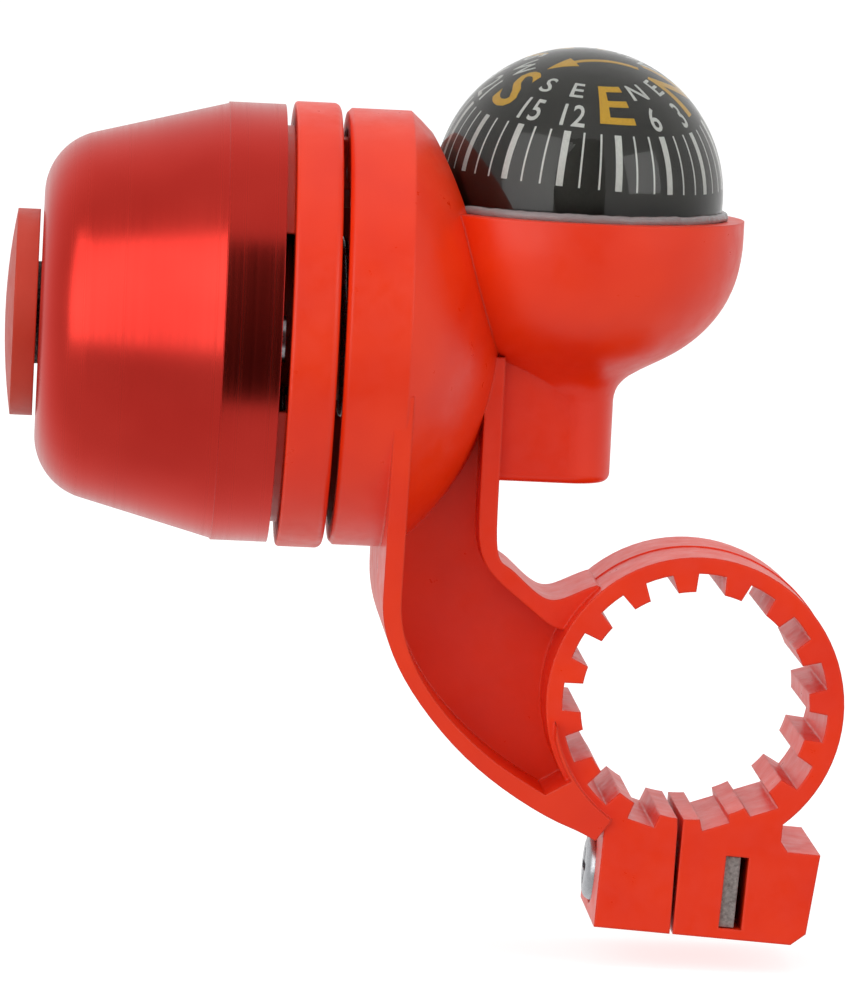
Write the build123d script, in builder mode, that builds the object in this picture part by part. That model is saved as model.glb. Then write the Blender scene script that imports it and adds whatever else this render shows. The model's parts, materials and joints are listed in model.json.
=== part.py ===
"""Bicycle bell with a twist ring striker and a ball compass, on a handlebar clamp.

Millimetres, +Z up. The origin is the centre of the handlebar bore, whose axis is Y.
The bell's own axis is parallel to X at bell_z, and its dome opens towards +X.
"""
import os
from math import atan2, cos, degrees, radians, sin, tan

from build123d import *

# ---- driving dimensions -------------------------------------------------------------
fit = 0.05               # radial clearance of a running fit
gap = 0.1                # clearance between faces that slide or stop on each other
clear = 0.3              # clearance between pieces that pass each other

# handlebar clamp
bar_r = 11.2             # teeth tips, for a 22.2 mm handlebar
tooth_h = 1.8            # height of a tooth
clamp_wall = 1.6         # ring wall behind the teeth
clamp_half = 9.0         # half the clamp's width along the bar
tooth_count = 16
tooth_first = 271.0      # angle of the first tooth, from +X
tooth_span = 348.75      # from the first tooth to the last
tooth_root = 2.7
split_w = 0.55

# clamp lugs, in a frame that leans with the screw
lug_lean = 3.0           # degrees
lug_drop = 18.0          # bar centre to screw axis
lug_left = 7.6           # split to the screw head's end
lug_right = 13.8         # split to the far end
lug_below = 4.6
lug_above = 4.5
screw_r = 2.0            # M4
screw_hole_r = 2.25
screw_head_r = 3.4
screw_head_h = 1.5
screw_len = 14.0
spot_depth = 0.7         # the head's seat below the lug's end face
nut_w = 7.0
nut_t = 1.5
nut_len = 12.0
nut_start = 4.6          # split to the nut's bearing wall
nut_room = 0.75          # play for the nut to walk off the wall

# arm
web_t = 2.4
flange_t = 1.8
inner_half = 6.5         # half-width of the inner flange
inner_x = -20.1          # inner flange, outer face

# bell housing
bell_z = 34.8            # bell axis above the bar centre
housing_r = 21.4
housing_front = -36.3
housing_len = 6.2        # straight wall
cap_r = 28.0             # radius of the round back
housing_wall = 2.0
cavity_depth = 7.1
boss_r = 6.0             # journal of the twist ring
post_bore = 2.5

# twist ring
ring_gap = 0.7           # behind the ring
ring_r = 21.8
ring_len = 4.5
ring_wall = 2.4
web_in = 1.6             # ring's rear edge to its web
ring_web_t = 1.6
hub_wall = 2.6
hub_back = 0.8           # hub's length behind the web
hub_ahead = 2.1          # and in front of it
collar_len = 3.0         # collar in front of the ring, inside the dome
collar_t = 1.4
ring_twist = 25.0        # degrees of travel
cock_ratio = 0.9         # striker's turn for each degree of the ring's
lug_half = 7.5           # half-angle of the ring's stop lug
stop_angle = 12.0        # angle that each of its two stops fills

# dome
dome_gap = 0.9           # ring to dome
dome_r = 21.45
dome_depth = 23.1
band_len = 5.5
band_step = 0.15
dome_cone = 14.8         # half-angle of the cone, degrees
dome_wall = 1.2
dome_corner = 6.3
dome_hole = 2.15
seat_t = 0.8
post_shaft_r = 3.0
cap_out_r = 10.1
cap_gap = 0.3            # cap to dome
cap_len = 2.2            # cap's straight side
cap_crown = 0.85
cap_wall = 1.2

# striker
strike_gap = 0.65        # striker head to dome, at rest
pin_at_angle = 225.0
pin_r = 1.0
head_at_angle = 180.0
head_r = 2.2
tail_len = 6.2
tail_angle = 57.0
tail_w = 1.2
striker_t = 1.7
striker_gap = 0.9        # hub to striker arm

# compass
comp_x = -13.4
comp_z = 49.0
capsule_r = 14.2
capsule_wall = 1.2
flange_r = 14.4
rim_z = 47.0             # top of the bowl
bowl_r = 16.4
bowl_in_r = 14.6
card_room = 2.8          # capsule's inside to card
card_wall = 1.0
card_gap = 0.3
stem_r = 4.5
stem_end = -19.8
stem_bottom = 20.7

# ---- worked-out values ----------------------------------------------------------------
# stations along the bell axis, from the housing forwards
housing_rear = housing_front + housing_len
cavity_floor = housing_front + cavity_depth
ring_rear = housing_front - ring_gap
ring_front = ring_rear - ring_len
web_rear = ring_rear - web_in
web_front = web_rear - ring_web_t
hub_rear = web_rear + hub_back
hub_front = web_front - hub_ahead
collar_front = ring_front - collar_len
arm_rear = hub_front - striker_gap
arm_front = arm_rear - striker_t
dome_rim = ring_front - dome_gap
dome_front = dome_rim - dome_depth
dome_in_front = dome_front + dome_wall
cap_back = dome_front - cap_gap
cap_edge = cap_back - cap_len
# radii about the bell axis
ring_in_r = ring_r - ring_wall
hub_r = boss_r + hub_wall
boss_root_r = boss_r + 1.2
spigot_r = boss_r - 1.8
spigot_flat = spigot_r - 0.7
pin_at_r = boss_r + 6.0
cam_root = pin_at_r - tail_len - tail_w / 2 - 0.2
head_at_r = dome_r - dome_wall - strike_gap - head_r
arm_x = housing_front + 5.0    # outer flange, where it leaves the housing
stop_in_r = housing_r - housing_wall - 4.0
root_r = bar_r + tooth_h
clamp_r = root_r + clamp_wall
ring_mid = root_r + clamp_wall / 2
lean = radians(lug_lean)
# the screw axis passes lug_drop below the bar; u runs along it, v across it
lug_plane = Plane(
    origin=(-lug_drop * sin(lean), 0, -lug_drop * cos(lean)),
    x_dir=(cos(lean), 0, -sin(lean)),
    z_dir=(0, -1, 0),
)
bell_axis = Axis((0, 0, bell_z), (1, 0, 0))
compass_axis = Axis((comp_x, 0, 0), (0, 0, 1))
capsule_in = capsule_r - capsule_wall
fluid_r = capsule_in - fit
card_r = capsule_in - card_room
card_space = card_r + card_gap
wall_in_r = housing_r - housing_wall
post_shoulder = dome_in_front + seat_t
os.makedirs("parts", exist_ok=True)


def polar(r, angle):
    """Point at a radius and an angle in degrees."""
    return (r * cos(radians(angle)), r * sin(radians(angle)))


def bell_plane(x):
    """Plane across the bell axis: its x is +Y and its y is +Z."""
    return Plane(origin=(x, 0, bell_z), x_dir=(0, 1, 0), z_dir=(1, 0, 0))


def disc(x_a, x_b, r, mode=Mode.ADD, at=(0, 0)):
    """Round stretch parallel to the bell axis, between two stations along X."""
    with Locations((min(x_a, x_b), at[0], bell_z + at[1])):
        Cylinder(
            r,
            abs(x_b - x_a),
            rotation=(0, 90, 0),
            align=(Align.CENTER, Align.CENTER, Align.MIN),
            mode=mode,
        )


def post(z_a, z_b, r, mode=Mode.ADD, at=(0, 0)):
    """Round stretch parallel to the compass axis, between two heights."""
    with Locations((comp_x + at[0], at[1], min(z_a, z_b))):
        Cylinder(r, abs(z_b - z_a), align=(Align.CENTER, Align.CENTER, Align.MIN), mode=mode)


def lug_rod(u_a, u_b, r, mode=Mode.ADD):
    """Round stretch along the clamp screw's axis."""
    start = lug_plane.from_local_coords(Vector(u_a, 0, 0))
    with Locations(Plane(origin=start, z_dir=lug_plane.x_dir)):
        Cylinder(r, u_b - u_a, align=(Align.CENTER, Align.CENTER, Align.MIN), mode=mode)


def save(builder, name):
    """Label a finished piece and write its STEP file."""
    builder.part.label = name
    export_step(builder.part, f"parts/{name}.step")


# ---- bracket: housing, compass bowl, arm and clamp in one moulding ----------------------
arm_half_low = clamp_half
arm_half_high = housing_r - 0.7
arm_top = bell_z - 4.8
arm_low = -14.0
outer_curve = [
    (arm_x + 0.9, 5.3),
    (arm_x + 5.4, -1.95),
    (arm_x + 12.2, -8.3),
    (arm_x + 18.8, -12.1),
]
outer_end = polar(clamp_r + 1.8, 236.5)

with BuildPart() as bracket:
    # compass stem: oblong, reaching back to the arm
    with BuildSketch(Plane.XY.offset(stem_bottom)):
        with Locations(((comp_x + stem_end - 0.6) / 2, 0)):
            Rectangle(comp_x - stem_end + 0.6, 2 * stem_r)
        with Locations((comp_x, 0)):
            Circle(stem_r)
    extrude(amount=13)
    fillet(bracket.edges().group_by(Axis.Z)[0].filter_by_position(Axis.X, stem_end - 0.5, 0), 0.9)
    # arm: its full outline, thick enough for the widest flange
    with BuildSketch(Plane.XZ):
        with BuildLine():
            Line((arm_x, arm_top + 3), (arm_x, 10))
            Spline((arm_x, 10), *outer_curve, outer_end, tangents=[(0, -1), (0.87, -0.48)])
            Line(outer_end, polar(ring_mid, 236.5))
            ThreePointArc(polar(ring_mid, 236.5), (-ring_mid, 0), polar(ring_mid, 130))
            Line(polar(ring_mid, 130), polar(clamp_r + 0.4, 132))
            Spline(
                polar(clamp_r + 0.4, 132),
                (inner_x + 5.2, 9.6),
                (inner_x + 1.8, 12.2),
                (inner_x, 18),
                tangents=[(-0.94, -0.34), (0, 1)],
            )
            Line((inner_x, 18), (inner_x, arm_top + 3))
            Line((inner_x, arm_top + 3), (arm_x, arm_top + 3))
        make_face()
    extrude(amount=arm_half_high, both=True)
    # the outer flange widens from the clamp to the housing
    with BuildSketch(Plane.YZ):
        Polygon(
            (-arm_half_low, -20),
            (arm_half_low, -20),
            (arm_half_low, arm_low),
            (arm_half_high, arm_top),
            (0, arm_top + 6),
            (-arm_half_high, arm_top),
            (-arm_half_low, arm_low),
            align=None,
        )
    extrude(amount=60, both=True, mode=Mode.INTERSECT)
    # recess on each side of the web
    for side in (1, -1):
        with BuildSketch(Plane.XZ.offset(side * web_t / 2)):
            with BuildLine():
                Line((arm_x + flange_t, arm_top + 4), (arm_x + flange_t, 10))
                Spline(
                    (arm_x + flange_t, 10),
                    (arm_x + 2.6, 5.4),
                    (arm_x + 5.6, 0),
                    (arm_x + 12.1, -6.2),
                    (arm_x + 17.0, -9.2),
                    tangents=[(0, -1), (0.86, -0.5)],
                )
                Line((arm_x + 17.0, -9.2), polar(ring_mid + 0.3, 213))
                ThreePointArc(
                    polar(ring_mid + 0.3, 213), (-ring_mid - 0.3, 0), polar(ring_mid + 0.3, 152)
                )
                Spline(
                    polar(ring_mid + 0.3, 152),
                    (inner_x + 4.1, 8.2),
                    (inner_x - 0.4, 12.0),
                    (inner_x - flange_t, 18),
                    tangents=[(-0.9, -0.1), (0, 1)],
                )
                Line((inner_x - flange_t, 18), (inner_x - flange_t, arm_top + 4))
                Line((inner_x - flange_t, arm_top + 4), (arm_x + flange_t, arm_top + 4))
            make_face()
        extrude(amount=side * 30, mode=Mode.SUBTRACT)
        # the inner flange is narrower than the outer one
        with BuildSketch(Plane.XZ.offset(side * inner_half)):
            Polygon(
                (arm_x + flange_t + 3, arm_top + 4),
                (arm_x + flange_t + 3, 8),
                polar(clamp_r, 200),
                polar(clamp_r - 1, 180),
                (0, 20),
                (0, arm_top + 4),
                align=None,
            )
        extrude(amount=side * 30, mode=Mode.SUBTRACT)

    # bell housing: a straight wall with a round back
    cap_x = housing_rear - (cap_r**2 - housing_r**2) ** 0.5
    with BuildSketch(Plane.XZ):
        with BuildLine():
            Polyline(
                (cap_x + cap_r, bell_z),
                (housing_front, bell_z),
                (housing_front, bell_z + housing_r - 0.4),
                (housing_front + 0.4, bell_z + housing_r),
                (housing_rear, bell_z + housing_r),
            )
            RadiusArc((housing_rear, bell_z + housing_r), (cap_x + cap_r, bell_z), cap_r)
        make_face()
    revolve(axis=bell_axis)

    # compass bowl, turned about the compass axis, with its flare into the stem
    with BuildSketch(Plane.XZ):
        with BuildLine():
            Polyline(
                (comp_x + bowl_r, rim_z - 1.5),
                (comp_x + bowl_r, rim_z),
                (comp_x, rim_z),
                (comp_x, stem_bottom + 6),
                (comp_x + stem_r, stem_bottom + 6),
                (comp_x + stem_r, 28.8),
            )
            Spline(
                (comp_x + stem_r, 28.8),
                (comp_x + stem_r + 0.5, 30.4),
                (comp_x + 7.2, 32.1),
                (comp_x + 10.25, 33.8),
                (comp_x + 13.3, 36.4),
                (comp_x + 15.4, 39.75),
                (comp_x + bowl_r - 0.1, 43.4),
                (comp_x + bowl_r, rim_z - 1.5),
            )
        make_face()
    revolve(axis=compass_axis)

    # clamp ring with its teeth
    with BuildSketch(Plane.XZ):
        Circle(clamp_r)
        Circle(root_r, mode=Mode.SUBTRACT)
        with PolarLocations(
            bar_r + tooth_h / 2, tooth_count, tooth_first, tooth_span, rotate=True, endpoint=True
        ):
            Trapezoid(tooth_root, tooth_h + 0.6, 77, rotation=90)
        Circle(bar_r, mode=Mode.SUBTRACT)
    extrude(amount=clamp_half, both=True)
    # lugs
    with BuildSketch(lug_plane):
        Polygon(
            (-lug_left, -lug_below),
            (0, -lug_below),
            (0, lug_drop - root_r),
            polar(root_r + 0.5, 235)[0:1] + (lug_drop + polar(root_r + 0.5, 235)[1],),
            (-lug_left, lug_drop - clamp_r + 2.2),
            align=None,
        )
        Polygon(
            (0, -lug_below),
            (lug_right - 2, -lug_below),
            (lug_right - 0.6, -lug_below + 1.2),
            (lug_right, lug_above),
            (lug_right - 3.2, lug_above),
            (lug_right - 4.0, lug_above + 1.0),
            (lug_right - 4.0, lug_drop - 9),
            (0, lug_drop - root_r),
            align=None,
        )
    extrude(amount=clamp_half, both=True)
    # the bore stays clear of the lugs
    with BuildSketch(Plane.XZ):
        Circle(bar_r)
    extrude(amount=clamp_half + 1, both=True, mode=Mode.SUBTRACT)
    # split between the lugs
    with BuildSketch(lug_plane):
        Polygon(
            (-0.25 - split_w / 2, 8),
            (-0.25 + split_w / 2, 8),
            (0.05 + split_w / 4, -lug_below - 1),
            (0.05 - split_w / 4, -lug_below - 1),
            align=None,
        )
    extrude(amount=clamp_half + 1, both=True, mode=Mode.SUBTRACT)
    # screw hole, spot face and nut slot
    lug_rod(-lug_left - 1, screw_len - 5.2, screw_hole_r, Mode.SUBTRACT)
    lug_rod(-lug_left - 3, -lug_left + spot_depth, screw_head_r + clear, Mode.SUBTRACT)
    with BuildSketch(lug_plane.offset(-nut_w / 2 - gap)):
        with Locations((nut_start + (nut_t + nut_room) / 2, 0)):
            Rectangle(nut_t + nut_room, nut_w + 2 * gap)
    extrude(amount=clamp_half + nut_w, mode=Mode.SUBTRACT)

    # hollow of the housing, around its boss
    with BuildSketch(Plane.XZ):
        Polygon(
            (housing_front - 1, bell_z + boss_root_r),
            (housing_front - 1, bell_z + wall_in_r),
            (cavity_floor - 3.0, bell_z + wall_in_r),
            (cavity_floor, bell_z + wall_in_r - 3.4),
            (cavity_floor, bell_z + boss_root_r),
            align=None,
        )
    revolve(axis=bell_axis, mode=Mode.SUBTRACT)
    disc(cavity_floor, hub_rear + 0.5, boss_root_r)
    disc(cavity_floor, arm_rear + gap, boss_r)
    with BuildSketch(bell_plane(arm_rear + gap)):
        Circle(spigot_r)
        with Locations((0, spigot_flat)):
            Rectangle(20, 20, align=(Align.CENTER, Align.MIN), mode=Mode.SUBTRACT)
    extrude(amount=-2.1)
    disc(housing_front - 10, housing_rear + 3.1, post_bore, Mode.SUBTRACT)
    # two stops for the twist ring's lug
    with BuildSketch(bell_plane(housing_front + 4.5)):
        for start in (90 + lug_half + 0.5, 90 - lug_half - 0.5 - ring_twist - stop_angle):
            Polygon(
                polar(stop_in_r, start),
                polar(wall_in_r + 0.6, start),
                polar(wall_in_r + 0.6, start + stop_angle),
                polar(stop_in_r, start + stop_angle),
                align=None,
            )
    extrude(amount=-4.5)

    # seat of the compass: a cylinder above the rim, a round bowl below it
    post(rim_z - 0.8, rim_z + 30, bowl_in_r, Mode.SUBTRACT)
    with Locations((comp_x, 0, comp_z)):
        Sphere(bowl_in_r, mode=Mode.SUBTRACT)
save(bracket, "bracket")

# ---- clamp screw and nut ---------------------------------------------------------------
seat_u = -lug_left + spot_depth
with BuildPart() as clamp_screw:
    lug_rod(seat_u - screw_head_h, seat_u, screw_head_r)
    fillet(clamp_screw.edges().sort_by(Axis.X)[0], 1.1)
    lug_rod(seat_u, seat_u + screw_len, screw_r)
    # cross recess
    top = lug_plane.from_local_coords(Vector(seat_u - screw_head_h, 0, 0))
    with BuildSketch(Plane(origin=top, z_dir=lug_plane.x_dir)):
        Rectangle(3.6, 0.8)
        Rectangle(0.8, 3.6)
    extrude(amount=0.9, mode=Mode.SUBTRACT)
save(clamp_screw, "clamp_screw")

with BuildPart() as clamp_nut:
    with BuildSketch(lug_plane.offset(-nut_w / 2)):
        with Locations((nut_start + nut_t / 2, 0)):
            Rectangle(nut_t, nut_w)
    extrude(amount=nut_len)
    lug_rod(nut_start - 1, nut_start + nut_t + 1, screw_r + fit, Mode.SUBTRACT)
save(clamp_nut, "clamp_nut")

# ---- centre post, dome and what holds it ------------------------------------------------
flange_at = arm_rear + gap - 2.2
with BuildPart() as centre_post:
    disc(housing_rear + 3.0, flange_at, post_bore)
    with BuildSketch(bell_plane(flange_at)):
        RegularPolygon(spigot_r + 0.4, 6)
    extrude(amount=-1.7)
    disc(flange_at - 1.7, post_shoulder, post_shaft_r)
    disc(post_shoulder, post_shoulder + 9, screw_r - 0.3, Mode.SUBTRACT)
save(centre_post, "centre_post")

step_x = dome_rim - band_len
slope = (dome_front - step_x) * tan(radians(dome_cone))
cone_start = (step_x - 0.05, bell_z + dome_r - band_step)
outer_corner = (dome_front, cone_start[1] + slope)
inner_corner = (dome_in_front, outer_corner[1] - 0.8 * dome_wall)
with BuildPart() as bell_dome:
    with BuildSketch(Plane.XZ):
        with BuildLine():
            Polyline((dome_rim, bell_z + dome_r), (step_x, bell_z + dome_r), cone_start)
            FilletPolyline(cone_start, outer_corner, (dome_front, bell_z + dome_hole), radius=dome_corner)
            Line((dome_front, bell_z + dome_hole), (dome_in_front, bell_z + dome_hole))
            FilletPolyline(
                (dome_in_front, bell_z + dome_hole),
                inner_corner,
                (step_x, bell_z + dome_r - dome_wall),
                radius=dome_corner - dome_wall,
            )
            Polyline(
                (step_x, bell_z + dome_r - dome_wall),
                (dome_rim, bell_z + dome_r - dome_wall),
                (dome_rim, bell_z + dome_r),
            )
        make_face()
    revolve(axis=bell_axis)
save(bell_dome, "bell_dome")

with BuildPart() as seat_washer:
    disc(dome_in_front, post_shoulder, 5.5)
    disc(dome_in_front, post_shoulder, dome_hole, Mode.SUBTRACT)
save(seat_washer, "seat_washer")

cap_plate_back = dome_front - 0.5
with BuildPart() as cap_plate:
    disc(dome_front, cap_plate_back, 5.0)
    disc(cap_plate_back, cap_plate_back - 0.5, cap_out_r - cap_wall - clear)
    disc(dome_front, cap_plate_back - 0.5, dome_hole, Mode.SUBTRACT)
save(cap_plate, "cap_plate")

dome_head = cap_plate_back - 0.5
with BuildPart() as dome_screw:
    disc(dome_head, dome_head - 1.1, 3.6)
    disc(dome_head, post_shoulder + 8, screw_r - 0.3)
    with BuildSketch(bell_plane(dome_head - 1.1)):
        Rectangle(3.0, 0.7)
        Rectangle(0.7, 3.0)
    extrude(amount=0.6, mode=Mode.SUBTRACT)
save(dome_screw, "dome_screw")

with BuildPart() as centre_cap:
    crown_r = (cap_out_r**2 + cap_crown**2) / (2 * cap_crown)
    crown_x = cap_edge - cap_crown
    with BuildSketch(Plane.XZ):
        with BuildLine():
            Polyline(
                (crown_x + 1.0, bell_z),
                (crown_x, bell_z),
            )
            RadiusArc((crown_x, bell_z), (cap_edge, bell_z + cap_out_r), crown_r)
            Polyline(
                (cap_edge, bell_z + cap_out_r),
                (cap_back, bell_z + cap_out_r),
                (cap_back, bell_z + cap_out_r - cap_wall - 0.5),
                (cap_back - 0.15, bell_z + cap_out_r - cap_wall - 0.5),
                (cap_back - 0.15, bell_z + cap_out_r - cap_wall),
                (crown_x + 1.0 + 0.5, bell_z + cap_out_r - cap_wall),
                (crown_x + 1.0, bell_z + 4.5),
                (crown_x + 1.0, bell_z),
            )
        make_face()
    revolve(axis=bell_axis)
save(centre_cap, "centre_cap")

# ---- twist ring and its bearings ----------------------------------------------------------
pin_at = polar(pin_at_r, pin_at_angle)
head_at = polar(head_at_r, head_at_angle)
with BuildPart() as twist_ring:
    disc(ring_rear, ring_front, ring_r)
    fillet(twist_ring.edges().sort_by(Axis.X)[0], 0.35)
    fillet(twist_ring.edges().sort_by(Axis.X)[-1], 0.7)
    disc(ring_rear, web_rear, ring_in_r, Mode.SUBTRACT)
    disc(web_front, ring_front, ring_in_r, Mode.SUBTRACT)
    disc(web_front, collar_front, ring_in_r)
    disc(web_front, collar_front, ring_in_r - collar_t, Mode.SUBTRACT)
    disc(hub_rear, web_rear, hub_r)
    disc(web_front, hub_front, hub_r)
    disc(web_front, arm_rear + clear, 2.3, at=pin_at)
    # window that lets the striker reach the dome
    with Locations((collar_front - 1, -ring_r + 1, bell_z - 7.0)):
        Box(
            ring_front - collar_front + 1,
            6,
            17,
            align=(Align.MIN, Align.MIN, Align.MIN),
            mode=Mode.SUBTRACT,
        )
    # lug that runs between the housing's two stops
    with BuildSketch(bell_plane(web_rear)):
        Polygon(
            polar(stop_in_r + clear, 90 + lug_half),
            polar(wall_in_r - 0.8, 90 + lug_half),
            polar(wall_in_r - 0.8, 90 - lug_half),
            polar(stop_in_r + clear, 90 - lug_half),
            align=None,
        )
    extrude(amount=web_in + ring_gap + 1.3)
    disc(hub_rear + 1, hub_front - 1, boss_r + fit, Mode.SUBTRACT)
    disc(web_rear + 0.2, arm_rear, pin_r, Mode.SUBTRACT, at=pin_at)
save(twist_ring, "twist_ring")

with BuildPart() as thrust_washer:
    disc(hub_rear + 0.1, hub_rear + 0.5, hub_r)
    disc(hub_rear + 0.1, hub_rear + 0.5, boss_r, Mode.SUBTRACT)
save(thrust_washer, "thrust_washer")

with BuildPart() as ring_retainer:
    disc(hub_front - 0.1, hub_front - 0.6, hub_r - 0.1)
    disc(hub_front - 0.1, hub_front - 0.6, boss_r, Mode.SUBTRACT)
save(ring_retainer, "ring_retainer")

# each tooth's flank lies along the tail, as the tail stands at full twist
full_dir = tail_angle - (1 + cock_ratio) * ring_twist
full_pin = Vector(*polar(pin_at_r, pin_at_angle - ring_twist))
full_tip = full_pin + Vector(*polar(tail_len, full_dir))
flank_along = Vector(*polar(1, full_dir))
flank_out = Vector(*polar(1, full_dir + 90))
flank = full_tip + flank_out * (tail_w / 2 + gap + 0.02)
with BuildPart() as trip_cam:
    with BuildSketch(bell_plane(arm_rear + gap)):
        Circle(cam_root)
        with PolarLocations(0, 6):
            Polygon(
                (flank + flank_along * 1.3),
                (flank - flank_along * 1.45),
                (flank - flank_along * 1.0 + flank_out * 2.2),
                (flank + flank_along * 1.0 + flank_out * 3.4),
                align=None,
            )
        with BuildSketch(mode=Mode.SUBTRACT):
            Circle(spigot_r)
            with Locations((0, spigot_flat)):
                Rectangle(20, 20, align=(Align.CENTER, Align.MIN), mode=Mode.SUBTRACT)
    extrude(amount=-2.1)
save(trip_cam, "trip_cam")

return_wire = 1.0
spring_turns = 4.5
spring_len = cavity_depth + ring_gap - return_wire - 0.3
with BuildPart() as return_spring:
    with BuildLine() as coil:
        Helix(
            spring_len / spring_turns,
            spring_len,
            boss_root_r + return_wire / 2 + 0.7,
            center=(cavity_floor - return_wire / 2 - spring_len, 0, bell_z),
            direction=(1, 0, 0),
        )
    with BuildSketch(Plane(origin=coil.line @ 0, z_dir=coil.line % 0)):
        Circle(return_wire / 2)
    sweep(is_frenet=True)
save(return_spring, "return_spring")

# ---- striker: a lever on the ring whose tail leans on the trip cam -------------------------
tail_tip = (
    pin_at[0] + polar(tail_len, tail_angle)[0],
    pin_at[1] + polar(tail_len, tail_angle)[1],
)
arm_dx = head_at[0] - pin_at[0]
arm_dy = head_at[1] - pin_at[1]
arm_len = (arm_dx**2 + arm_dy**2) ** 0.5
arm_dir = degrees(atan2(arm_dy, arm_dx))
neck_r = 1.3
with BuildPart() as striker_arm:
    with BuildSketch(bell_plane(arm_rear)):
        with Locations(pin_at):
            Circle(2.3)
        with Locations(head_at):
            Circle(2.0)
        with Locations(((pin_at[0] + head_at[0]) / 2, (pin_at[1] + head_at[1]) / 2)):
            Rectangle(arm_len, 3.0, rotation=arm_dir)
        with Locations(((pin_at[0] + tail_tip[0]) / 2, (pin_at[1] + tail_tip[1]) / 2)):
            SlotCenterToCenter(tail_len, tail_w, rotation=tail_angle)
        with Locations(pin_at):
            Circle(pin_r + fit, mode=Mode.SUBTRACT)
        with Locations(head_at):
            Circle(neck_r, mode=Mode.SUBTRACT)
    extrude(amount=arm_front - arm_rear)
save(striker_arm, "striker_arm")

with BuildPart() as striker_head:
    disc(arm_rear + 1.2, arm_rear, head_r, at=head_at)
    disc(arm_rear, arm_front, neck_r, at=head_at)
    disc(arm_front, arm_front - 2.4, head_r, at=head_at)
save(striker_head, "striker_head")

with BuildPart() as striker_pin:
    disc(web_rear - 0.1, arm_front - gap, pin_r, at=pin_at)
    disc(arm_front - gap, arm_front - gap - 0.5, pin_r + 0.7, at=pin_at)
save(striker_pin, "striker_pin")

with BuildPart() as striker_spring:
    with BuildLine() as small_coil:
        Helix(
            0.65,
            1.95,
            2.95,
            center=(arm_rear + 0.75, pin_at[0], bell_z + pin_at[1]),
            direction=(1, 0, 0),
        )
    with BuildSketch(Plane(origin=small_coil.line @ 0, z_dir=small_coil.line % 0)):
        Circle(0.25)
    sweep(is_frenet=True)
save(striker_spring, "striker_spring")

# ---- ball compass ---------------------------------------------------------------------------
joint_z = rim_z - 0.8          # where the capsule's two halves meet
gasket_t = 0.2
with BuildPart() as capsule_dome:
    with Locations((comp_x, 0, comp_z)):
        Sphere(capsule_r)
    post(joint_z, joint_z + 0.8, flange_r)
    post(joint_z, joint_z - 2 * capsule_r, flange_r + 1, Mode.SUBTRACT)
    with Locations((comp_x, 0, comp_z)):
        Sphere(capsule_in, mode=Mode.SUBTRACT)
save(capsule_dome, "capsule_dome")

base_top = joint_z - gasket_t
pin_seat_z = comp_z - capsule_in + 1.6
plug_at = (5.0, 0)
plug_r = 1.2
with BuildPart() as capsule_base:
    with Locations((comp_x, 0, comp_z)):
        Sphere(capsule_r)
        Sphere(capsule_in, mode=Mode.SUBTRACT)
    post(base_top, base_top + 2 * capsule_r, capsule_r + 1, Mode.SUBTRACT)
    post(comp_z - capsule_in - 0.4, pin_seat_z, 2.0)
    post(comp_z - capsule_in + 0.4, pin_seat_z, 0.7, Mode.SUBTRACT)
    post(comp_z - capsule_r, comp_z - 8, plug_r, Mode.SUBTRACT, at=plug_at)
save(capsule_base, "capsule_base")

with BuildPart() as capsule_gasket:
    post(base_top, joint_z, capsule_r - 0.2)
    post(base_top, joint_z, capsule_in, Mode.SUBTRACT)
save(capsule_gasket, "capsule_gasket")

plug_low = comp_z - (capsule_r**2 - (plug_at[0] + plug_r) ** 2) ** 0.5 + 0.1
with BuildPart() as filler_plug:
    post(plug_low, plug_low + 1.4, plug_r, at=plug_at)
save(filler_plug, "filler_plug")

jewel_z = comp_z - 1.6
pivot_r = 0.7
with BuildPart() as pivot_pin:
    post(comp_z - capsule_in + 0.4, jewel_z - 1.5, pivot_r)
    with Locations((comp_x, 0, jewel_z - 1.5)):
        Cone(pivot_r, 0.1, 1.4, align=(Align.CENTER, Align.CENTER, Align.MIN))
save(pivot_pin, "pivot_pin")

web_z = comp_z - 3.0
with BuildPart() as compass_card:
    with Locations((comp_x, 0, comp_z)):
        Sphere(card_r)
        Sphere(card_r - card_wall, mode=Mode.SUBTRACT)
    post(web_z, web_z + 0.8, card_r - 0.6)
    post(comp_z - 2 * card_r, web_z + 2, 1.4, Mode.SUBTRACT)
    post(comp_z - 2 * card_r, comp_z - card_r + 2, 4.5, Mode.SUBTRACT)
save(compass_card, "compass_card")

with BuildPart() as jewel_cup:
    post(web_z, jewel_z + 1.0, 1.4)
    with Locations((comp_x, 0, web_z)):
        Cone(1.2, 0.3, jewel_z - web_z, align=(Align.CENTER, Align.CENTER, Align.MIN), mode=Mode.SUBTRACT)
save(jewel_cup, "jewel_cup")

magnet_y = card_r - 6.2
with BuildPart() as card_magnets:
    with Locations((comp_x, magnet_y, web_z - 0.9), (comp_x, -magnet_y, web_z - 0.9)):
        Box(2 * (card_r - 4.7), 2.2, 1.8)
save(card_magnets, "card_magnets")

with BuildPart() as damping_fluid:
    with Locations((comp_x, 0, comp_z)):
        Sphere(fluid_r)
        Sphere(card_space, mode=Mode.SUBTRACT)
    post(comp_z - capsule_r, pin_seat_z + fit, 2.0 + fit, Mode.SUBTRACT)
    post(pin_seat_z, comp_z, pivot_r + fit, Mode.SUBTRACT)
    post(comp_z - capsule_r, plug_low + 1.4 + fit, plug_r + fit, Mode.SUBTRACT, at=plug_at)
save(damping_fluid, "damping_fluid")
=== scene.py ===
# %% [markdown]
# # A bicycle bell with a ball compass
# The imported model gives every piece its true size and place. This file gives the pieces
# their finish, and builds anew the few whose look depends on more than their outline.
# Everything is in metres, +Z up, with the origin in the middle of the handlebar bore.

# %% Load the frame
import json
import math

import bmesh
import bpy
from mathutils import Matrix, Vector


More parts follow.
